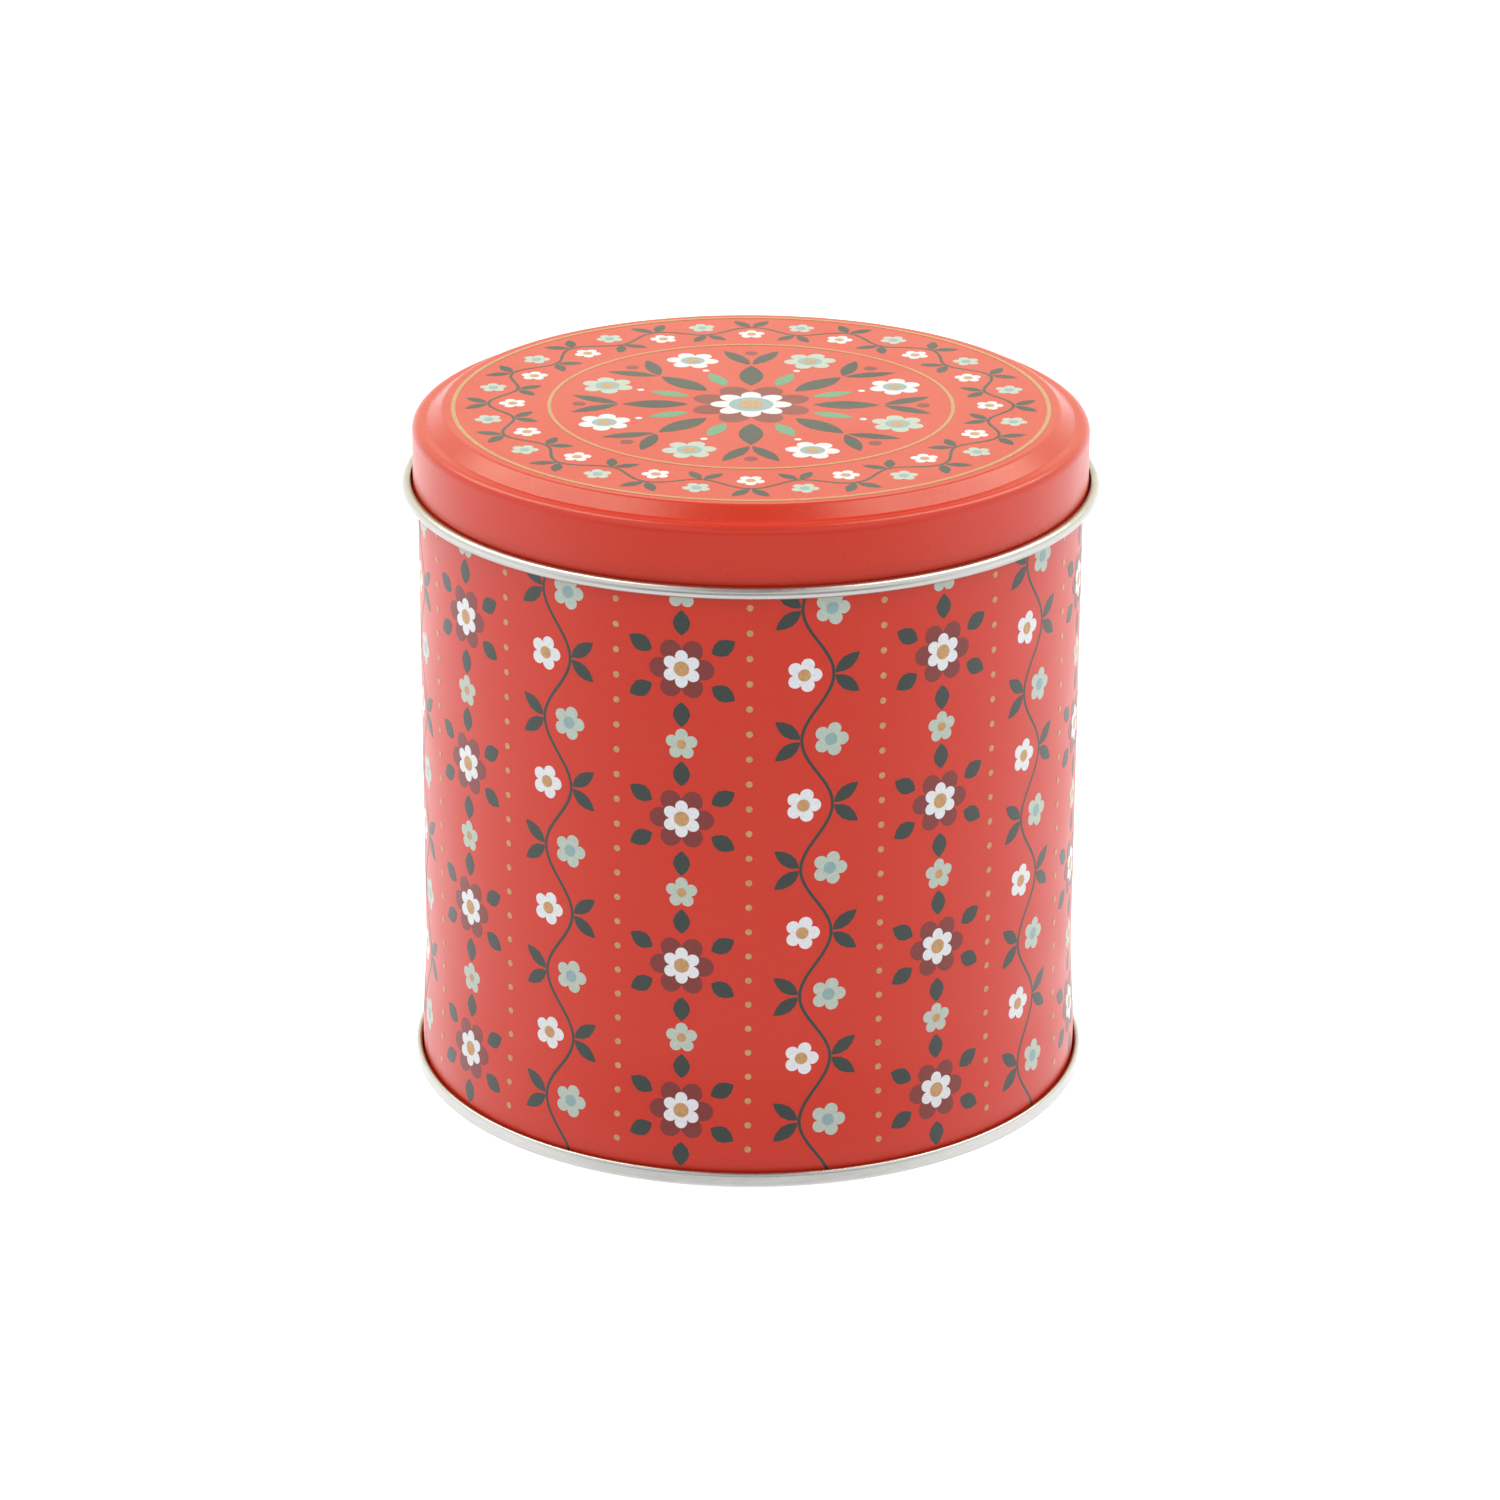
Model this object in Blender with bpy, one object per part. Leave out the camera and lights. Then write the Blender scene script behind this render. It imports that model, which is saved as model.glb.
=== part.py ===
"""Round slip-lid cookie tin: a drawn lid, a rolled body wall and a seamed bottom end.

Each piece is one sheet of tinplate. Its cross-section is a centre line in the
(radius, height) plane, turned round Z and thickened to the sheet. Lengths are
in millimetres here and become metres in spun_sheet().
"""
import math

import bpy

MM = 0.001

# Driving dimensions
SHEET = 0.25                # tinplate thickness
WALL_RADIUS = 65.0          # outside of the straight wall
TIN_HEIGHT = 136.0          # table to the lid's flat panel
LID_CLEARANCE = 0.65        # radial play between the lid's skirt and the wall
SEAM_GAP = 0.2              # space between two layers of the bottom seam
LID_GAP = 0.3               # space between the lid's ledge and the wall's curl

# Lid, heights measured down from the panel
PANEL_RADIUS = 59.6         # flat, printed part of the panel
PANEL_BEND = 1.0            # radius of the bend at the panel's edge
SLOPE_ANGLE = 38.0          # slope from the panel down to the ledge, degrees
LEDGE_DROP = 2.3            # panel to the ledge
LEDGE_BEND = 0.6            # radius of the hollow bend at the slope's foot
SHOULDER_BEND = 1.675       # radius from the ledge to the skirt
CURL_DROP = 15.0            # panel to the middle of the lid's curl
LID_CURL_RADIUS = 1.05
CURL_OPENING = 65.0         # degrees that a curl stays open

# Body wall
WALL_CURL_RADIUS = 1.0
FLARE = 0.9                 # the wall widens by this much above the bottom seam
FLARE_TOP = 27.0
FLARE_FOOT = 4.5
FLARE_STEPS = 4
HOOK_TOP = 2.2              # free edge of the wall's hook in the seam

# Bottom end and its double seam
SEAM_HEIGHT = 2.9
SEAM_BEND = 0.45            # radius of the seam's bends
END_HOOK_FOOT = 1.0         # free edge of the end's hook in the seam
PANEL_RISE = 3.4            # table to the underside of the bottom panel
CHUCK_BEND = 0.8            # radius from the bottom panel to the chuck wall

# Fineness
SEGMENTS = 48
CURL_STEPS = 8

HALF = SHEET / 2
LAYER = SHEET + SEAM_GAP    # pitch of the layers in the bottom seam
WALL_LINE = WALL_RADIUS - HALF
FOOT_LINE = WALL_LINE + FLARE
SKIRT_LINE = WALL_RADIUS + LID_CLEARANCE + HALF


def arc(centre, radius, start, end, steps):
    """Points on an arc in the (radius, height) plane, angles in degrees."""
    points = []
    for i in range(steps + 1):
        angle = math.radians(start + (end - start) * i / steps)
        points.append((centre[0] + radius * math.cos(angle),
                       centre[1] + radius * math.sin(angle)))
    return points


def lid_path():
    """Panel, slope, ledge, shoulder, skirt and outward curl; height 0 at the curl's middle."""
    panel = CURL_DROP - HALF
    ledge = panel - LEDGE_DROP
    edge = arc((PANEL_RADIUS, panel - PANEL_BEND), PANEL_BEND, 90, 90 - SLOPE_ANGLE, 3)
    slope_foot = ledge + LEDGE_BEND * (1 - math.cos(math.radians(SLOPE_ANGLE)))
    slope_run = (edge[-1][1] - slope_foot) / math.tan(math.radians(SLOPE_ANGLE))
    hollow = edge[-1][0] + slope_run + LEDGE_BEND * math.sin(math.radians(SLOPE_ANGLE))
    shoulder = (SKIRT_LINE - SHOULDER_BEND, ledge - SHOULDER_BEND)
    curl = (SKIRT_LINE + LID_CURL_RADIUS, 0.0)
    return ([(0.0, panel)] + edge
            + arc((hollow, ledge + LEDGE_BEND), LEDGE_BEND, 270 - SLOPE_ANGLE, 270, 2)
            + arc(shoulder, SHOULDER_BEND, 90, 0, 4)
            + arc(curl, LID_CURL_RADIUS, 180, 180 + 360 - CURL_OPENING, CURL_STEPS))


def wall_path():
    """Inward curl, straight wall, flared foot and the hook that the seam holds."""
    top = TIN_HEIGHT - HALF - LEDGE_DROP - HALF - LID_GAP
    curl = (WALL_LINE - WALL_CURL_RADIUS, top - HALF - WALL_CURL_RADIUS)
    flare = []
    for i in range(FLARE_STEPS + 1):
        t = i / FLARE_STEPS
        flare.append((WALL_LINE + FLARE * t * t * (3 - 2 * t),
                      FLARE_TOP + (FLARE_FOOT - FLARE_TOP) * t))
    turn = (FOOT_LINE + SEAM_BEND, HALF + LAYER + SEAM_BEND)
    return (arc(curl, WALL_CURL_RADIUS, 360 - CURL_OPENING, 0, CURL_STEPS) + flare
            + arc(turn, SEAM_BEND, 180, 360, 4)
            + [(FOOT_LINE + 2 * SEAM_BEND, HOOK_TOP)])


def end_path():
    """Recessed panel, chuck wall, the seam's flat foot, its outside and its hook."""
    panel = PANEL_RISE + HALF
    chuck = FOOT_LINE - LAYER
    outside = FOOT_LINE + 3 * LAYER
    bend = (chuck - CHUCK_BEND, panel - CHUCK_BEND)
    inner_foot = (chuck + SEAM_BEND, HALF + SEAM_BEND)
    outer_foot = (outside - SEAM_BEND, HALF + SEAM_BEND)
    top = (outside - SEAM_BEND, SEAM_HEIGHT - HALF - SEAM_BEND)
    return ([(0.0, panel)] + arc(bend, CHUCK_BEND, 90, 0, 3)
            + arc(inner_foot, SEAM_BEND, 180, 270, 3)
            + arc(outer_foot, SEAM_BEND, 270, 360, 3)
            + arc(top, SEAM_BEND, 0, 180, 4)
            + [(outside - 2 * SEAM_BEND, END_HOOK_FOOT)])


def finish(name, colour, metallic, roughness):
    """A plain Principled material."""
    material = bpy.data.materials.new(name)
    material.use_nodes = True
    shader = material.node_tree.nodes["Principled BSDF"]
    shader.inputs["Base Color"].default_value = (*colour, 1.0)
    shader.inputs["Metallic"].default_value = metallic
    shader.inputs["Roughness"].default_value = roughness
    return material


def spun_sheet(name, path, material, height=0.0):
    """Turn a centre line round Z at a height and give it the sheet's thickness."""
    mesh = bpy.data.meshes.new(name)
    mesh.from_pydata([(r * MM, 0.0, z * MM) for r, z in path],
                     [(i, i + 1) for i in range(len(path) - 1)], [])
    mesh.materials.append(material)
    piece = bpy.data.objects.new(name, mesh)
    piece.location.z = height * MM
    bpy.context.collection.objects.link(piece)
    turn = piece.modifiers.new("Turn", "SCREW")
    turn.steps = SEGMENTS
    turn.render_steps = SEGMENTS
    turn.use_smooth_shade = True
    turn.use_merge_vertices = True
    turn.merge_threshold = 0.00001
    skin = piece.modifiers.new("Skin", "SOLIDIFY")
    skin.thickness = SHEET * MM
    skin.offset = 0.0
    skin.use_even_offset = True
    return piece


def build():
    for old in list(bpy.data.objects):
        bpy.data.objects.remove(old, do_unlink=True)
    lid_red = finish("lid_red", (0.66, 0.055, 0.035), 0.0, 0.35)
    wall_red = finish("wall_red", (0.60, 0.045, 0.032), 0.0, 0.35)
    tinplate = finish("bare_tinplate", (0.74, 0.74, 0.72), 1.0, 0.28)
    spun_sheet("lid", lid_path(), lid_red, height=TIN_HEIGHT - CURL_DROP)
    spun_sheet("body_wall", wall_path(), wall_red)
    spun_sheet("bottom_end", end_path(), tinplate)


build()
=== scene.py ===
"""Looks of the round cookie tin: fine sheets, lacquer, printed inks, studio and camera.

Lengths are in millimetres until a mesh is made. The wall's print is drawn flat, with u running
round the wall from the front (-Y) towards +X and v as the height. The lid's print is drawn in
plan, with +X to the right and -Y to the front.
"""

import math

import bpy
from mathutils import Matrix, Vector
from mathutils.geometry import delaunay_2d_cdt


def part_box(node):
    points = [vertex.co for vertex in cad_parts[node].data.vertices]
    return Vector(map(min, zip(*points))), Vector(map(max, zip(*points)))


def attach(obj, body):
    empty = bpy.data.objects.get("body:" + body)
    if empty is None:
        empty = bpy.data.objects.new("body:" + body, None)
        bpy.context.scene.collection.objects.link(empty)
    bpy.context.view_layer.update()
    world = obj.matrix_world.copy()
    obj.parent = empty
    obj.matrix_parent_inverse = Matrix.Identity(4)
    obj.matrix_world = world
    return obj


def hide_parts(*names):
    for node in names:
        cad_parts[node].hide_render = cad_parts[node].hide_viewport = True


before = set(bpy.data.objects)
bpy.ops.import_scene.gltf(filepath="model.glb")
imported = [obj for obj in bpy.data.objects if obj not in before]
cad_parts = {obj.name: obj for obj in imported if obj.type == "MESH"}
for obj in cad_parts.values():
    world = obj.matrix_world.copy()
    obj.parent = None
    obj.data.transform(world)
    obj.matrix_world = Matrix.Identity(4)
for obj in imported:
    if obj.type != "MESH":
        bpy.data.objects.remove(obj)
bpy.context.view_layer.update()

MM = 0.001
UP = Vector((0.0, 0.0, 1.0))

# ---------------------------------------------------------------- sheets: sizes of the three
SHEET = 0.25
HALF = SHEET / 2
SEAM_GAP = 0.2
LAYER = SHEET + SEAM_GAP
LID_GAP = 0.3
PANEL_RADIUS = 59.6
PANEL_BEND = 1.0
SLOPE_ANGLE = 38.0
LEDGE_DROP = 2.3
LEDGE_BEND = 0.6
SHOULDER_BEND = 1.675
CURL_DROP = 15.0
LID_CURL_RADIUS = 1.05
CURL_OPENING = 65.0
WALL_CURL_RADIUS = 1.0
FLARE = 0.9
FLARE_TOP = 27.0
FLARE_FOOT = 4.5
HOOK_TOP = 2.2
SEAM_HEIGHT = 2.9
SEAM_BEND = 0.45
END_HOOK_FOOT = 1.0
PANEL_RISE = 3.4
CHUCK_BEND = 0.8

TIN_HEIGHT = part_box("lid")[1][2] / MM
SKIRT_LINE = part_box("lid")[1][0] / MM - HALF - 2 * LID_CURL_RADIUS
FOOT_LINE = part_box("bottom_end")[1][0] / MM - HALF - 3 * LAYER
WALL_LINE = FOOT_LINE - FLARE
WALL_RADIUS = WALL_LINE + HALF

# Heights above a sheet's middle line. What is printed lies within the sheet's real thickness.
BARE = HALF - 0.075
LACQUER_FOOT = HALF - 0.071
LACQUER = HALF - 0.055
INK_STEP = 0.0135
INK_FOOT = LACQUER - 0.006

SEGMENTS = 240
TURN_STEP = 360 / SEGMENTS
ARC_STEP = 9.0
SUPPORT = 0.15
PRINT_TOP = 130.4
PRINT_FOOT = 1.7


# ---------------------------------------------------------------- curves in a plane
def arc(centre, radius, start, end):
    """Points of an arc; the angles are in degrees."""
    steps = max(2, math.ceil(abs(end - start) / ARC_STEP))
    points = []
    for i in range(steps + 1):
        angle = math.radians(start + (end - start) * i / steps)
        points.append((centre[0] + radius * math.cos(angle), centre[1] + radius * math.sin(angle)))
    return points


def left_normals(path, closed=False):
    """Unit normals to the left of the direction of travel, stretched to keep a mitred width."""
    normals = []
    count = len(path)
    for i in range(count):
        before = path[i - 1] if (i > 0 or closed) else None
        after = path[(i + 1) % count] if (i < count - 1 or closed) else None
        sides = []
        for a, b in ((before, path[i]), (path[i], after)):
            if a is None or b is None:
                continue
            length = math.hypot(b[0] - a[0], b[1] - a[1])
            sides.append(((a[1] - b[1]) / length, (b[0] - a[0]) / length))
        nx = sum(side[0] for side in sides) / len(sides)
        ny = sum(side[1] for side in sides) / len(sides)
        square = nx * nx + ny * ny
        normals.append((nx / square, ny / square))
    return normals


def offset(path, distance):
    return [(p[0] + n[0] * distance, p[1] + n[1] * distance)
            for p, n in zip(path, left_normals(path))]


def with_supports(path):
    """Adds points beside the ends of each long straight run, so smooth shading stays flat there."""
    points = [path[0]]
    for a, b in zip(path, path[1:]):
        length = math.hypot(b[0] - a[0], b[1] - a[1])
        if length > 6 * SUPPORT:
            for t in (SUPPORT / length, 1 - SUPPORT / length):
                points.append((a[0] + (b[0] - a[0]) * t, a[1] + (b[1] - a[1]) * t))
        points.append(b)
    return points


# ---------------------------------------------------------------- profiles of the three sheets
def lid_path():
    """The lid's middle line in (r, z), from the axis to the curl's raw edge."""
    panel = TIN_HEIGHT - HALF
    ledge = panel - LEDGE_DROP
    slope = math.radians(SLOPE_ANGLE)
    edge = arc((PANEL_RADIUS, panel - PANEL_BEND), PANEL_BEND, 90, 90 - SLOPE_ANGLE)
    slope_foot = ledge + LEDGE_BEND * (1 - math.cos(slope))
    slope_run = (edge[-1][1] - slope_foot) / math.tan(slope)
    hollow = edge[-1][0] + slope_run + LEDGE_BEND * math.sin(slope)
    shoulder = (SKIRT_LINE - SHOULDER_BEND, ledge - SHOULDER_BEND)
    curl = (SKIRT_LINE + LID_CURL_RADIUS, TIN_HEIGHT - CURL_DROP)
    path = [(0.0, panel)] + edge
    path += arc((hollow, ledge + LEDGE_BEND), LEDGE_BEND, 270 - SLOPE_ANGLE, 270)
    path += arc(shoulder, SHOULDER_BEND, 90, 0)
    path += arc(curl, LID_CURL_RADIUS, 180, 540 - CURL_OPENING)
    return with_supports(path)


def wall_path():
    """The wall's middle line in (r, z), from the inward curl down to the seam's hook."""
    top = TIN_HEIGHT - SHEET - LEDGE_DROP - LID_GAP
    curl = (WALL_LINE - WALL_CURL_RADIUS, top - HALF - WALL_CURL_RADIUS)
    path = arc(curl, WALL_CURL_RADIUS, 360 - CURL_OPENING, 0)
    flare_steps = 18
    for i in range(flare_steps + 1):
        t = i / flare_steps
        path.append((WALL_LINE + FLARE * t * t * (3 - 2 * t), FLARE_TOP + (FLARE_FOOT - FLARE_TOP) * t))
    path += arc((FOOT_LINE + SEAM_BEND, HALF + LAYER + SEAM_BEND), SEAM_BEND, 180, 360)
    path.append((FOOT_LINE + 2 * SEAM_BEND, HOOK_TOP))
    return with_supports(path)


def end_path():
    """The bottom end's middle line in (r, z), from the axis round the double seam."""
    panel = PANEL_RISE + HALF
    chuck = FOOT_LINE - LAYER
    outside = FOOT_LINE + 3 * LAYER
    path = [(0.0, panel)]
    path += arc((chuck - CHUCK_BEND, panel - CHUCK_BEND), CHUCK_BEND, 90, 0)
    path += arc((chuck + SEAM_BEND, HALF + SEAM_BEND), SEAM_BEND, 180, 270)
    path += arc((outside - SEAM_BEND, HALF + SEAM_BEND), SEAM_BEND, 270, 360)
    path += arc((outside - SEAM_BEND, SEAM_HEIGHT - HALF - SEAM_BEND), SEAM_BEND, 0, 180)
    path.append((outside - 2 * SEAM_BEND, END_HOOK_FOOT))
    return with_supports(path)


# ---------------------------------------------------------------- meshes
def new_piece(name, verts, faces, body, material):
    """A mesh object that rides on a body. The vertices are in millimetres."""
    mesh = bpy.data.meshes.new(name)
    mesh.from_pydata([(x * MM, y * MM, z * MM) for x, y, z in verts], [], faces)
    mesh.materials.append(material)
    mesh.shade_smooth()
    piece = bpy.data.objects.new(name, mesh)
    bpy.context.collection.objects.link(piece)
    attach(piece, body)
    return piece


def round_point(r, angle, z):
    """The place at a radius and at an angle in degrees from the front, towards +X."""
    turn = math.radians(angle)
    return (r * math.sin(turn), -r * math.cos(turn), z)


def shell(name, path, low, high, body, material, slit=None):
    """Turns a path into a thin closed sheet between two heights above the path.

    A slit is (angle, width in degrees): the sheet is left open there, with closed ends.
    """
    angles = [i * TURN_STEP for i in range(SEGMENTS)]
    if slit:
        start, end = slit[0] + slit[1] / 2, slit[0] - slit[1] / 2 + 360
        first = math.ceil(start / TURN_STEP + 0.2)
        last = math.floor(end / TURN_STEP - 0.2)
        angles = [start] + [i * TURN_STEP for i in range(first, last + 1)] + [end]
    count = len(angles)
    verts = []
    rings = []
    for side in (offset(path, high), offset(path, low)):
        rows = []
        for r, z in side:
            if r < 1e-6:
                rows.append([len(verts)] * count)
                verts.append((0.0, 0.0, z))
            else:
                rows.append(list(range(len(verts), len(verts) + count)))
                verts += [round_point(r, angle, z) for angle in angles]
        rings.append(rows)
    outer, inner = rings

    faces = []
    spans = count if slit is None else count - 1

    def strip(a, b):
        for j in range(spans):
            k = (j + 1) % count
            corners = [a[j], b[j], b[k], a[k]]
            faces.append([v for i, v in enumerate(corners) if v != corners[i - 1]])

    for i in range(len(path) - 1):
        strip(outer[i], outer[i + 1])
        strip(inner[i + 1], inner[i])
    strip(outer[-1], inner[-1])
    if outer[0][0] != outer[0][-1]:
        strip(inner[0], outer[0])
    if slit:
        for i in range(len(path) - 1):
            faces.append([outer[i][0], inner[i][0], inner[i + 1][0], outer[i + 1][0]])
            faces.append([outer[i][-1], outer[i + 1][-1], inner[i + 1][-1], inner[i][-1]])
    piece = new_piece(name, verts, faces, body, material)
    piece.data.set_sharp_from_angle(angle=math.radians(40))
    return piece


# ---------------------------------------------------------------- printed shapes, in a plane
def disc(x, y, radius, points=18):
    return [[(x + radius * math.cos(math.tau * i / points),
              y + radius * math.sin(math.tau * i / points)) for i in range(points)]]


def flower(x, y, radius, petals, turn=0.0, notch=0.62, points=12):
    """A flat flower with round petals; the first one points along turn."""
    outline = []
    for i in range(petals * points):
        phase = i / points
        angle = math.radians(turn) + math.tau * phase / petals
        reach = radius * (notch + (1 - notch) * abs(math.cos(math.pi * phase)) ** 0.7)
        outline.append((x + reach * math.cos(angle), y + reach * math.sin(angle)))
    return [outline]


def leaf(base, tip, width, belly=0.48, fullness=0.85, points=6):
    """A leaf between two points. Belly is where it is widest, from 0 at the base to 1."""
    along = (tip[0] - base[0], tip[1] - base[1])
    length = math.hypot(*along)
    side = (-along[1] / length, along[0] / length)
    power = math.log(0.5) / math.log(belly)
    edges = ([base], [])
    for i in range(1, points):
        t = (1 - math.cos(math.pi * i / points)) / 2
        half = width / 2 * math.sin(math.pi * t ** power) ** fullness
        for edge, sign in zip(edges, (-1, 1)):
            edge.append((base[0] + along[0] * t + sign * side[0] * half,
                         base[1] + along[1] * t + sign * side[1] * half))
    return [edges[0] + [tip] + edges[1][::-1]]


def ribbon(path, width, closed=False):
    """A band along a path, as one quad for each step."""
    normals = left_normals(path, closed)
    left, right = (
        [(p[0] + sign * n[0] * width / 2, p[1] + sign * n[1] * width / 2)
         for p, n in zip(path, normals)]
        for sign in (1, -1))
    count = len(path)
    steps = count if closed else count - 1
    return [[right[i], right[(i + 1) % count], left[(i + 1) % count], left[i]] for i in range(steps)]


def place(shapes, x, y, turn=0.0, scale=1.0):
    """Scales, turns (degrees) and then moves some outlines."""
    c, s = math.cos(math.radians(turn)) * scale, math.sin(math.radians(turn)) * scale
    return [[(x + c * px - s * py, y + s * px + c * py) for px, py in shape] for shape in shapes]


def mirrored(shapes):
    """The shapes and their mirror images across x = 0."""
    return shapes + [[(-px, py) for px, py in shape] for shape in shapes]


def around(shapes, count, first=0.0):
    """Equal copies of some outlines, turned round the middle."""
    return [outline for k in range(count)
            for outline in place(shapes, 0.0, 0.0, first + 360 * k / count)]


class Print:
    """The outlines of a design, kept by ink."""

    def __init__(self):
        self.inks = {}

    def add(self, ink, *groups):
        for group in groups:
            self.inks.setdefault(ink, []).extend(group)

    def include(self, other):
        """Adds another design's outlines."""
        for ink, shapes in other.inks.items():
            self.add(ink, shapes)


# ---------------------------------------------------------------- from outlines to ink films
def fill(shapes, lines, inside):
    """Triangles that cover the shapes' union, cut along the lines."""
    points, faces, edges = [], [], []
    for shape in shapes:
        area = sum(a[0] * b[1] - b[0] * a[1] for a, b in zip(shape, shape[1:] + shape[:1]))
        ordered = shape if area > 0 else shape[::-1]
        faces.append(list(range(len(points), len(points) + len(ordered))))
        points += [Vector(p) for p in ordered]
    for line in lines:
        edges += [(len(points) + i, len(points) + i + 1) for i in range(len(line) - 1)]
        points += [Vector(p) for p in line]
    verts, _, triangles, _, _, sources = delaunay_2d_cdt(points, edges, faces, 0, 1e-6)
    kept = []
    for triangle, source in zip(triangles, sources):
        if source and inside(sum((verts[v] for v in triangle), Vector((0.0, 0.0))) / 3):
            kept.append(tuple(triangle))
    used = sorted({v for triangle in kept for v in triangle})
    index = {v: i for i, v in enumerate(used)}
    return [verts[v] for v in used], [tuple(index[v] for v in t) for t in kept]


def film(name, flat, triangles, surface, top, body, material):
    """A closed thin solid of ink. surface(point, height) gives a place and the normal there."""
    borders = {}
    for a, b, c in triangles:
        for edge in ((a, b), (b, c), (c, a)):
            borders[edge] = True
    rim = [edge for edge in borders if (edge[1], edge[0]) not in borders]
    count = len(flat)
    verts, lifts = [], []
    for height in (top, INK_FOOT):
        for point in flat:
            spot, normal = surface(point, height)
            verts.append(spot)
            lifts.append(normal)
    faces, normals = [], []
    for a, b, c in triangles:
        faces.append((a, b, c))
        normals += [lifts[a], lifts[b], lifts[c]]
        faces.append((count + c, count + b, count + a))
        normals += [-lifts[c], -lifts[b], -lifts[a]]
    for a, b in rim:
        run = Vector(verts[b]) - Vector(verts[a])
        out = run.cross(lifts[a]).normalized()
        faces.append((b, a, count + a, count + b))
        normals += [out] * 4
    piece = new_piece(name, verts, faces, body, material)
    piece.data.normals_split_custom_set(normals)
    return piece


# ---------------------------------------------------------------- materials
def material_nodes(name):
    material = bpy.data.materials.new(name)
    material.use_nodes = True
    nodes = material.node_tree.nodes
    return material, nodes, material.node_tree.links, nodes["Principled BSDF"]


def noise_value(nodes, links, scale, low, high, detail=3.0, stretch=(1.0, 1.0, 1.0)):
    """A noise whose middle range runs from low to high."""
    coords = nodes.new("ShaderNodeTexCoord")
    mapping = nodes.new("ShaderNodeMapping")
    mapping.inputs["Scale"].default_value = stretch
    noise = nodes.new("ShaderNodeTexNoise")
    noise.inputs["Scale"].default_value = scale
    noise.inputs["Detail"].default_value = detail
    spread = nodes.new("ShaderNodeMapRange")
    spread.interpolation_type = "SMOOTHSTEP"
    spread.inputs["From Min"].default_value = 0.25
    spread.inputs["From Max"].default_value = 0.75
    spread.inputs["To Min"].default_value = low
    spread.inputs["To Max"].default_value = high
    links.new(coords.outputs["Object"], mapping.inputs["Vector"])
    links.new(mapping.outputs["Vector"], noise.inputs["Vector"])
    links.new(noise.outputs["Fac"], spread.inputs["Value"])
    return spread.outputs["Result"]


def shaded_colour(nodes, links, colour, factor, depth):
    """A colour that a factor from 0 to 1 makes darker by up to depth."""
    mix = nodes.new("ShaderNodeMix")
    mix.data_type = "RGBA"
    mix.inputs["A"].default_value = (*colour, 1.0)
    mix.inputs["B"].default_value = (*[channel * (1 - depth) for channel in colour], 1.0)
    links.new(factor, mix.inputs["Factor"])
    return mix.outputs["Result"]


def add_bump(nodes, links, shader, height, strength, distance):
    bump = nodes.new("ShaderNodeBump")
    bump.inputs["Strength"].default_value = strength
    bump.inputs["Distance"].default_value = distance
    links.new(height, bump.inputs["Height"])
    links.new(bump.outputs["Normal"], shader.inputs["Normal"])


def coated(name, colour, roughness, grain=2200.0, depth=0.10, peel=0.05):
    """Lacquer or ink on tinplate: faint ink density, orange peel and worn gloss."""
    material, nodes, links, shader = material_nodes(name)
    shader.inputs["IOR"].default_value = 1.5
    density = noise_value(nodes, links, grain, 0.0, 1.0, detail=2.0)
    links.new(shaded_colour(nodes, links, colour, density, depth), shader.inputs["Base Color"])
    gloss = noise_value(nodes, links, 55.0, roughness - 0.035, roughness + 0.035, detail=5.0)
    links.new(gloss, shader.inputs["Roughness"])
    ripple = noise_value(nodes, links, 900.0, 0.0, 1.0, detail=1.0)
    add_bump(nodes, links, shader, ripple, peel, 0.00002)
    return material


def tinplate(name, stretch):
    """Bright bare tinplate with rolling lines that the stretch lines up."""
    material, nodes, links, shader = material_nodes(name)
    shader.inputs["Metallic"].default_value = 1.0
    lines = noise_value(nodes, links, 420.0, 0.0, 1.0, detail=4.0, stretch=stretch)
    links.new(shaded_colour(nodes, links, (0.55, 0.545, 0.525), lines, 0.08),
              shader.inputs["Base Color"])
    gloss = noise_value(nodes, links, 160.0, 0.24, 0.36, detail=4.0, stretch=stretch)
    links.new(gloss, shader.inputs["Roughness"])
    add_bump(nodes, links, shader, lines, 0.05, 0.00002)
    return material


LID_RED = (0.675, 0.031, 0.009)
WALL_RED = (0.675, 0.027, 0.008)
INKS = {
    "dark_green": (0.034, 0.049, 0.044),
    "leaf_green": (0.14, 0.38, 0.22),
    "maroon": (0.235, 0.030, 0.028),
    "lid_maroon": (0.26, 0.030, 0.028),
    "white": (0.86, 0.89, 0.97),
    "lid_white": (0.84, 0.82, 0.92),
    "gold": (0.64, 0.36, 0.16),
    "mint": (0.54, 0.63, 0.58),
    "aqua": (0.30, 0.46, 0.50),
}


def ink_material(ink):
    if ink == "gold":
        return coated("ink_gold", INKS[ink], 0.36, grain=1500.0, depth=0.22)
    return coated("ink_" + ink, INKS[ink], 0.34, depth=0.14)


# ---------------------------------------------------------------- the wall's print
HALF_TURN = math.pi * WALL_RADIUS
COLUMNS = 16
COLUMN_PITCH = 2 * HALF_TURN / COLUMNS
BEND = 13.0
VINE_SWING = 3.0
VINE_STEM = 0.6
VINE_FLOWER = 3.4
VINE_FLOWER_SHIFT = 2.6
WREATH_FIRST = 15.0
WREATH_STEP = 30.0
WREATH_FLOWER = 6.2
WREATH_PETALS = 6
DOT_STEP = 5.0
DOT_RADIUS = 0.65
SMALL_FLOWER = 3.1
WREATH_GAP = 0.4
WREATH_REACH = 5.4
WREATH_LEAF = 3.4
SEAM_ANGLE = 180.0


def leaf_pair(length, spread, width):
    """Two leaves that open upwards from the origin."""
    return mirrored(leaf((0.3, 0.3), (spread, length), width))


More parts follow.
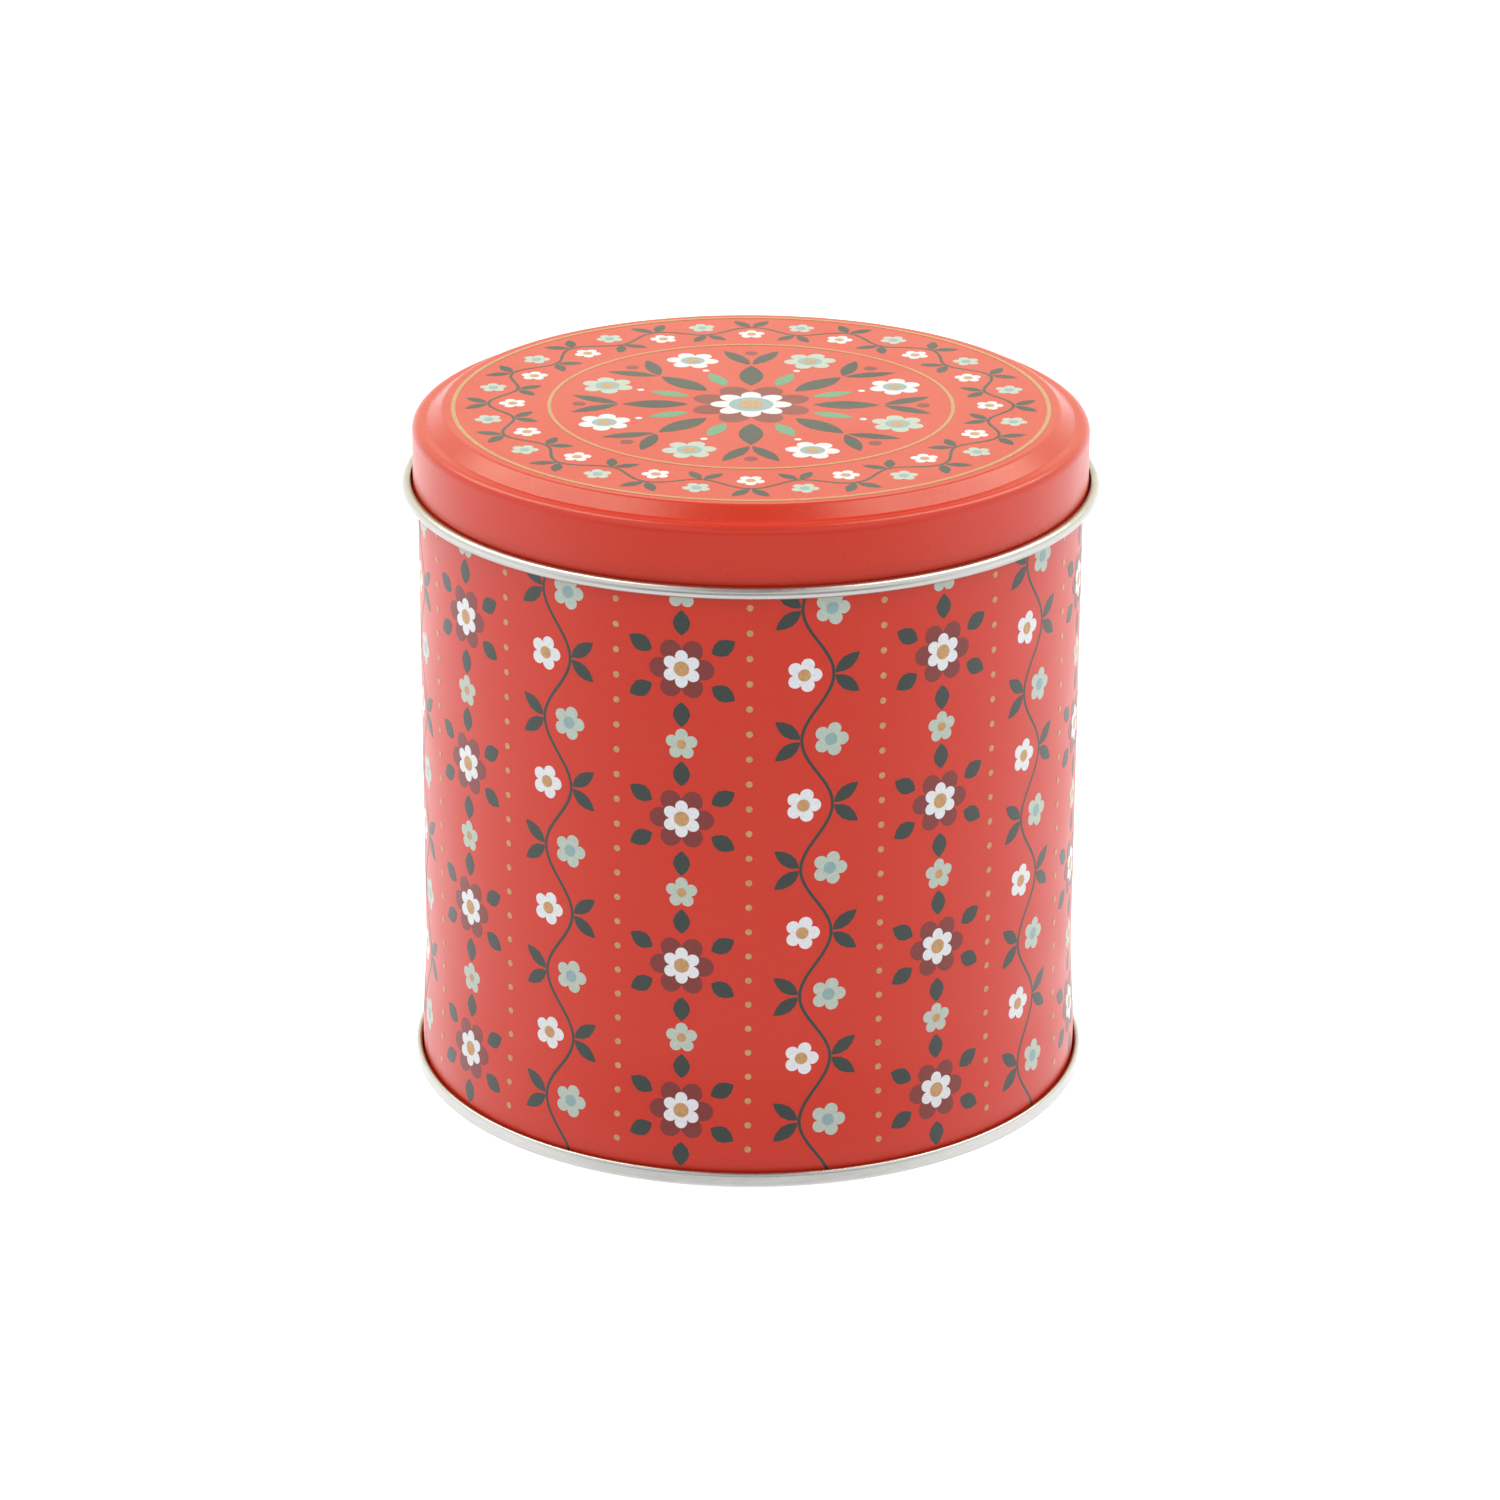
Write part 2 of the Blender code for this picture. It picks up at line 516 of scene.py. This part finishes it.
def vine_column(middle):
    """A waving stem with a flower in each bend and a pair of leaves behind it."""
    design = Print()
    bends = math.ceil(PRINT_TOP / BEND)
    wave = []
    for i in range(12 * bends + 1):
        wave.append((middle + VINE_SWING * math.cos(math.pi * i / 12), BEND * i / 12))
    design.add("dark_green", ribbon(wave, VINE_STEM))
    for k in range(1, bends + 1):
        side = -1 if k % 2 else 1
        petals, centre = ("mint", "aqua") if k % 2 else ("white", "gold")
        level = BEND * k
        leaves = leaf_pair(5.0, 3.9, 2.7)
        design.add("dark_green", place(leaves, middle + side * VINE_SWING, level, -90 * side))
        x = middle - side * VINE_FLOWER_SHIFT
        design.add(petals, flower(x, level, VINE_FLOWER, 5))
        design.add(centre, disc(x, level, 0.36 * VINE_FLOWER))
    return design


def wreath_column(middle):
    """Layered flowers in wreaths of leaves, with a small flower between two wreaths."""
    design = Print()
    half_petal = 180 / WREATH_PETALS
    foot = (0.0, WREATH_FLOWER + WREATH_GAP)
    tip = (0.0, WREATH_FLOWER + WREATH_REACH)
    wreath = around(leaf(foot, tip, WREATH_LEAF), WREATH_PETALS)
    for k in range(math.ceil(PRINT_TOP / WREATH_STEP)):
        level = WREATH_FIRST + k * WREATH_STEP
        design.add("dark_green", place(wreath, middle, level))
        design.add("maroon", flower(middle, level, WREATH_FLOWER, WREATH_PETALS))
        design.add("white", flower(middle, level, 0.6 * WREATH_FLOWER, WREATH_PETALS, half_petal))
        design.add("gold", disc(middle, level, 0.24 * WREATH_FLOWER))
        between = level + WREATH_STEP / 2
        design.add("mint", flower(middle, between, SMALL_FLOWER, 5, 90.0))
        design.add("gold", disc(middle, between, 0.9))
    return design


def wall_print():
    """Vines and wreaths in turn at one pitch, with a row of dots between neighbours.

    The pitch divides the wall evenly, and the seam falls between two columns.
    """
    design = Print()
    for k in range(COLUMNS):
        column = wreath_column if k % 2 else vine_column
        design.include(column((k + 0.5 - COLUMNS / 2) * COLUMN_PITCH))
    for k in range(1, COLUMNS):
        x = (k - COLUMNS / 2) * COLUMN_PITCH
        for i in range(1, int(PRINT_TOP / DOT_STEP)):
            design.add("gold", disc(x, (i + 0.5) * DOT_STEP, DOT_RADIUS, 10))
    return design


def wall_side(wall, top, foot):
    """The wall's middle line from one level down to another, without its curl and its hook."""
    side = [p for p in wall if foot < p[1] < top and WALL_LINE - 1e-3 < p[0] < FOOT_LINE + 1e-3]
    return [(WALL_LINE, top)] + side


def profile_at(profile, height):
    """The radius and the slope dr/dz of a falling profile at a height."""
    for (ra, za), (rb, zb) in zip(profile, profile[1:]):
        if zb <= height <= za:
            slope = (rb - ra) / (zb - za)
            return ra + slope * (height - za), slope
    raise ValueError("height outside the profile")


def print_wall(wall, materials):
    straight = wall_side(wall, PRINT_TOP + 0.1, 0.0)

    def surface(point, height):
        radius, slope = profile_at(straight, point[1])
        turn = point[0] / WALL_RADIUS
        across = Vector((math.sin(turn), -math.cos(turn), -slope)).normalized()
        base = Vector((radius * math.sin(turn), -radius * math.cos(turn), point[1]))
        return tuple(base + across * height), across

    def inside(point):
        return PRINT_FOOT < point[1] < PRINT_TOP

    step = 2 * HALF_TURN / SEGMENTS
    lines = []
    for k in range(SEGMENTS + 1):
        u = -HALF_TURN + k * step
        lines.append([(u, -5.0), (u, PRINT_TOP + 5.0)])
    levels = [z for _, z in straight if PRINT_FOOT < z < PRINT_TOP] + [PRINT_FOOT, PRINT_TOP]
    lines += [[(-HALF_TURN, z), (HALF_TURN, z)] for z in levels]

    layers = {"dark_green": 1, "maroon": 1, "mint": 1, "white": 2, "aqua": 2, "gold": 3}
    for ink, shapes in wall_print().inks.items():
        flat, triangles = fill(shapes, lines, inside)
        top = LACQUER + INK_STEP * layers[ink]
        film("wall_ink_" + ink, flat, triangles, surface, top, "tin", materials[ink])


# ---------------------------------------------------------------- the lid's print
ROSETTE = 8
MIDDLE_FLOWER = 12.0
FLOWER_RING = 30.5
RING_FLOWER = 5.2
BEND_FLOWER = 2.7
BEND_FLOWER_HEART = 0.95
PRINT_EDGE = 66.5
GOLD_RINGS = ((39.2, 0.7), (57.8, 0.8))
RING_BENDS = 16
RING_VINE = 48.8
RING_SWING = 2.2


def lengths_along(points):
    """A polyline's length up to each of its points."""
    marks = [0.0]
    for a, b in zip(points, points[1:]):
        marks.append(marks[-1] + math.hypot(b[0] - a[0], b[1] - a[1]))
    return marks


def circle(radius, swing=0.0, waves=0, points=240):
    """A circle, or a wave round it that has a crest at the top."""
    outline = []
    for i in range(points):
        angle = math.tau * i / points
        reach = radius + swing * math.cos(waves * (angle - math.pi / 2))
        outline.append((reach * math.cos(angle), reach * math.sin(angle)))
    return outline


def rosette():
    """The middle flower with leaves round it and a ring of eight flowers."""
    design = Print()
    between = 180 / ROSETTE
    design.add("lid_maroon", flower(0.0, 0.0, MIDDLE_FLOWER, ROSETTE, 90.0 + between))
    design.add("lid_white", flower(0.0, 0.0, 0.66 * MIDDLE_FLOWER, ROSETTE, 90.0))
    design.add("aqua", disc(0.0, 0.0, 0.36 * MIDDLE_FLOWER, 36))
    design.add("gold", disc(0.0, 0.0, 0.2 * MIDDLE_FLOWER, 30))
    design.add("dark_green", around(leaf((0.0, 12.2), (0.0, 25.0), 4.8, points=10), ROSETTE))
    design.add("leaf_green", around(leaf((0.0, 13.0), (0.0, 21.5), 3.2, points=9), ROSETTE, between))
    design.add("lid_white", around(disc(0.0, 23.4, 0.7), ROSETTE, between))
    fork = place(leaf_pair(9.2, 5.4, 3.1), 0.0, 25.6)
    design.add("dark_green", around(fork, ROSETTE))
    design.add("lid_maroon", around(disc(0.0, 33.4, 1.3), ROSETTE))
    for k, petals in enumerate(("lid_white", "mint")):
        first = between + k * 2 * between
        design.add(petals, around(flower(0.0, FLOWER_RING, RING_FLOWER, 6, 90.0), ROSETTE // 2, first))
    design.add("aqua", around(disc(0.0, FLOWER_RING, 2.4, 24), ROSETTE, between))
    design.add("gold", around(disc(0.0, FLOWER_RING, 1.3), ROSETTE, between))
    return design


def vine_ring():
    """The wall's vine, bent round into a ring."""
    design = Print()
    design.add("dark_green", ribbon(circle(RING_VINE, RING_SWING, RING_BENDS), VINE_STEM, closed=True))
    crest, hollow = RING_VINE + RING_SWING, RING_VINE - RING_SWING
    outward = place(leaf_pair(4.4, 3.5, 2.3), 0.0, crest)
    inward = place(leaf_pair(4.2, 3.2, 2.2), 0.0, hollow, 180.0)
    half_bend = 180 / RING_BENDS
    design.add("dark_green", around(outward, RING_BENDS), around(inward, RING_BENDS, half_bend))
    design.add("lid_white", around(flower(0.0, hollow - 0.3, BEND_FLOWER, 5, 90.0), RING_BENDS))
    design.add("gold", around(disc(0.0, hollow - 0.3, BEND_FLOWER_HEART), RING_BENDS))
    design.add("mint", around(flower(0.0, crest + 0.5, BEND_FLOWER, 5, 90.0), RING_BENDS, half_bend))
    design.add("aqua", around(disc(0.0, crest + 0.5, BEND_FLOWER_HEART), RING_BENDS, half_bend))
    return design


def lid_print():
    design = Print()
    design.include(rosette())
    design.include(vine_ring())
    for radius, width in GOLD_RINGS:
        design.add("gold", ribbon(circle(radius), width, closed=True))
    return design


def print_lid(path, materials):
    marks = lengths_along(offset(path, HALF))
    leans = left_normals(path)

    def surface(point, height):
        distance = max(math.hypot(point[0], point[1]), 1e-6)
        across = Vector((point[0] / distance, point[1] / distance, 0.0))
        i = next(k for k in range(len(path) - 1) if distance <= marks[k + 1])
        t = (distance - marks[i]) / (marks[i + 1] - marks[i])
        radius, level, lean_r, lean_z = (
            a + (b - a) * t for a, b in zip(path[i] + leans[i], path[i + 1] + leans[i + 1]))
        normal = (across * lean_r + UP * lean_z)
        base = across * radius + UP * level
        return tuple(base + normal * height), normal.normalized()

    def inside(_):
        return True

    lines = []
    for mark in marks[1:]:
        if mark < PRINT_EDGE:
            lines.append([(mark * math.sin(math.radians(i * TURN_STEP)),
                           -mark * math.cos(math.radians(i * TURN_STEP)))
                          for i in range(SEGMENTS + 1)])
    layers = {"dark_green": 1, "leaf_green": 1, "lid_maroon": 1, "mint": 1,
              "lid_white": 2, "aqua": 3, "gold": 4}
    for ink, shapes in lid_print().inks.items():
        flat, triangles = fill(shapes, lines, inside)
        top = LACQUER + INK_STEP * layers[ink]
        film("lid_ink_" + ink, flat, triangles, surface, top,
             "lid", materials[ink])


# ---------------------------------------------------------------- the three sheets and their lacquer
def seam_fold(wall, material):
    """The wall's lock seam, a flat fold pressed against the inside of the wall."""
    half_width, lift, bevel = 1.7, 0.28, 0.25
    low = PANEL_RISE + 1.2
    high = PRINT_TOP - 1.0
    inner = wall_side(wall, high, low)
    foot = -0.02
    across = ((-half_width, foot), (-half_width + bevel, lift),
              (half_width - bevel, lift), (half_width, foot))
    verts, faces = [], []
    for r, z in inner:
        for side, depth in across:
            verts.append(round_point(r - HALF - depth, SEAM_ANGLE + math.degrees(side / WALL_RADIUS), z))
    count = len(across)
    for i in range(len(inner) - 1):
        for j in range(count):
            k = (j + 1) % count
            faces.append((i * count + k, i * count + j, (i + 1) * count + j, (i + 1) * count + k))
    faces.append(tuple(range(count)))
    faces.append(tuple((len(inner) - 1) * count + j for j in reversed(range(count))))
    piece = new_piece("wall_seam_fold", verts, faces, "tin", material)
    piece.data.set_sharp_from_angle(angle=math.radians(30))


def build_tin():
    lid, wall, end = lid_path(), wall_path(), end_path()
    tin_wall = tinplate("tinplate_wall", (1.0, 1.0, 7.0))
    tin_ring = tinplate("tinplate_ring", (1.0, 1.0, 9.0))

    lid_sheet = shell("lid_sheet", lid, -HALF, BARE, "lid", tin_ring)
    wall_sheet = shell("wall_sheet", wall, -HALF, BARE, "tin", tin_wall)
    end_sheet = shell("end_sheet", end, -HALF, HALF, "tin", tin_ring)
    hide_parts("lid")
    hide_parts("body_wall")
    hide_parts("bottom_end")
    seam_fold(wall, tin_wall)

    lacquered = [p for p in lid if p[0] < SKIRT_LINE + 0.6 and p[1] > TIN_HEIGHT - CURL_DROP - 0.9]
    shell("lid_lacquer", lacquered, LACQUER_FOOT, LACQUER, "lid",
          coated("lacquer_lid", LID_RED, 0.27, depth=0.06))
    coloured = wall_side(wall, PRINT_TOP + 0.1, 0.0)
    shell("wall_lacquer", coloured, LACQUER_FOOT, LACQUER, "tin",
          coated("lacquer_wall", WALL_RED, 0.32, depth=0.06), slit=(SEAM_ANGLE, 0.45))

    materials = {ink: ink_material(ink) for ink in INKS}
    print_wall(wall, materials)
    print_lid(lid, materials)


# ---------------------------------------------------------------- studio
FLOOR_GLOW = 0.6
LOW_LIGHT = 0.98
FRONT_LIGHT = 0.30
FRONT_TOP_LIGHT = 0.88
SIDE_LIGHT = 1.18
BACK_LIGHT = 0.93
ZENITH_LIGHT = 0.27
GLOSS_GAIN = 1.3
WARM = (1.0, 0.98, 0.76)
SOFTBOX = (0.34, 1.25)
SOFTBOX_POWER = 6.0


def floor():
    size = 6.0
    mesh = bpy.data.meshes.new("studio_floor")
    corners = [(-size, -size, 0.0), (size, -size, 0.0), (size, size, 0.0), (-size, size, 0.0)]
    mesh.from_pydata(corners, [], [(0, 1, 2, 3)])
    material, nodes, links, shader = material_nodes("studio_floor")
    grain = noise_value(nodes, links, 3.0, 0.0, 1.0)
    links.new(shaded_colour(nodes, links, (0.93, 0.93, 0.93), grain, 0.01), shader.inputs["Base Color"])
    shader.inputs["Roughness"].default_value = 0.9
    path = nodes.new("ShaderNodeLightPath")
    glow = nodes.new("ShaderNodeMath")
    glow.operation = "MULTIPLY"
    glow.inputs[1].default_value = FLOOR_GLOW
    links.new(path.outputs["Is Camera Ray"], glow.inputs[0])
    shader.inputs["Emission Color"].default_value = (1.0, 1.0, 1.0, 1.0)
    links.new(glow.outputs["Value"], shader.inputs["Emission Strength"])
    mesh.materials.append(material)
    ground = bpy.data.objects.new("studio_floor", mesh)
    bpy.context.collection.objects.link(ground)
    ground.visible_glossy = False


def map_range(nodes, links, value, low, high, start, end):
    node = nodes.new("ShaderNodeMapRange")
    node.interpolation_type = "SMOOTHSTEP"
    node.inputs["From Min"].default_value = low
    node.inputs["From Max"].default_value = high
    node.inputs["To Min"].default_value = start
    node.inputs["To Max"].default_value = end
    links.new(value, node.inputs["Value"])
    return node.outputs["Result"]


def mix_value(nodes, links, factor, a, b):
    """A mix of two values, each a number or a socket."""
    node = nodes.new("ShaderNodeMix")
    links.new(factor, node.inputs["Factor"])
    for key, value in (("A", a), ("B", b)):
        if isinstance(value, float):
            node.inputs[key].default_value = value
        else:
            links.new(value, node.inputs[key])
    return node.outputs["Result"]


def product(nodes, links, a, b):
    node = nodes.new("ShaderNodeMath")
    node.operation = "MULTIPLY"
    links.new(a, node.inputs[0])
    links.new(b, node.inputs[1])
    return node.outputs["Value"]


def studio_world():
    """A white tent: bright behind, beside and below, dim straight overhead and at the camera.

    What the gloss sees also has a dim gap between the two softboxes.
    """
    world = bpy.data.worlds.new("studio_world")
    bpy.context.scene.world = world
    world.use_nodes = True
    nodes, links = world.node_tree.nodes, world.node_tree.links
    background = nodes["Background"]
    coords = nodes.new("ShaderNodeTexCoord")
    split = nodes.new("ShaderNodeSeparateXYZ")
    links.new(coords.outputs["Generated"], split.inputs["Vector"])
    depth, height = split.outputs["Y"], split.outputs["Z"]
    front_floor = map_range(nodes, links, height, -0.46, -0.26, 1.0, 0.0)
    front = map_range(nodes, links, height, 0.0, 0.4, FRONT_LIGHT, FRONT_TOP_LIGHT)
    front = mix_value(nodes, links, front_floor, front, LOW_LIGHT)
    back = map_range(nodes, links, height, -0.1, 0.35, SIDE_LIGHT, BACK_LIGHT)
    towards_back = map_range(nodes, links, depth, -0.92, -0.1, 0.0, 1.0)
    sides = mix_value(nodes, links, towards_back, front, back)
    below = map_range(nodes, links, height, -0.62, -0.44, 1.0, 0.0)
    walls = mix_value(nodes, links, below, sides, LOW_LIGHT)
    overhead = map_range(nodes, links, height, 0.82, 0.97, 0.0, 1.0)
    tent = mix_value(nodes, links, overhead, walls, ZENITH_LIGHT)
    path = nodes.new("ShaderNodeLightPath")
    aside = nodes.new("ShaderNodeMath")
    aside.operation = "ABSOLUTE"
    links.new(split.outputs["X"], aside.inputs[0])
    gap = product(nodes, links, map_range(nodes, links, aside.outputs["Value"], 0.14, 0.34, 1.0, 0.0),
                  map_range(nodes, links, height, 0.42, 0.62, 0.0, 1.0))
    gap = product(nodes, links, gap, path.outputs["Is Glossy Ray"])
    tent = mix_value(nodes, links, gap, tent, ZENITH_LIGHT)
    gain = mix_value(nodes, links, path.outputs["Is Glossy Ray"], 1.0, GLOSS_GAIN)
    lit = product(nodes, links, tent, gain)
    shown = mix_value(nodes, links, path.outputs["Is Camera Ray"], lit, 1.05)
    links.new(shown, background.inputs["Strength"])

    warm = nodes.new("ShaderNodeMix")
    warm.data_type = "RGBA"
    warm.inputs["A"].default_value = (1.0, 1.0, 1.0, 1.0)
    warm.inputs["B"].default_value = (*WARM, 1.0)
    behind = product(nodes, links, map_range(nodes, links, depth, 0.3, 0.8, 0.0, 1.0),
                     map_range(nodes, links, height, 0.0, 0.25, 0.0, 1.0))
    unseen = nodes.new("ShaderNodeMath")
    unseen.operation = "SUBTRACT"
    unseen.use_clamp = True
    links.new(behind, unseen.inputs[0])
    links.new(path.outputs["Is Camera Ray"], unseen.inputs[1])
    links.new(unseen.outputs["Value"], warm.inputs["Factor"])
    links.new(warm.outputs["Result"], background.inputs["Color"])


def softbox(name, side):
    """A long softbox overhead, on one side (-1 or 1), running outwards and to the back."""
    light = bpy.data.lights.new(name, "AREA")
    light.shape = "RECTANGLE"
    light.size = SOFTBOX[0]
    light.size_y = SOFTBOX[1]
    light.energy = SOFTBOX_POWER
    light.color = WARM
    lamp = bpy.data.objects.new(name, light)
    spot = Vector((side * 0.68, 0.36, 1.2))
    back = (spot - Vector((0.0, 0.0, 0.12))).normalized()
    along = Vector((side * 0.62, 0.78, 0.0))
    along = (along - back * along.dot(back)).normalized()
    turn = Matrix((along.cross(back), along, back)).transposed().to_4x4()
    lamp.matrix_world = Matrix.Translation(spot) @ turn
    bpy.context.collection.objects.link(lamp)


def camera():
    """A long lens, level with the photographer's eye above the table."""
    distance, elevation, roll = 1.0565, math.radians(21.53), 0.0047
    target = Vector((0.0001, 0.0, 0.0638))
    back = Vector((0.0, -math.cos(elevation), math.sin(elevation)))
    right = Vector((1.0, 0.0, 0.0))
    up = back.cross(right)
    right, up = (right * math.cos(roll) + up * math.sin(roll),
                 up * math.cos(roll) - right * math.sin(roll))
    data = bpy.data.cameras.new("camera")
    data.sensor_width = 36.0
    data.lens = 127.3
    view = bpy.data.objects.new("camera", data)
    turn = Matrix((right, up, back)).transposed().to_4x4()
    view.matrix_world = Matrix.Translation(target + back * distance) @ turn
    bpy.context.collection.objects.link(view)
    bpy.context.scene.camera = view


camera()
build_tin()
floor()
studio_world()
softbox("softbox_left", -1)
softbox("softbox_right", 1)
bpy.context.scene.view_settings.view_transform = "Standard"
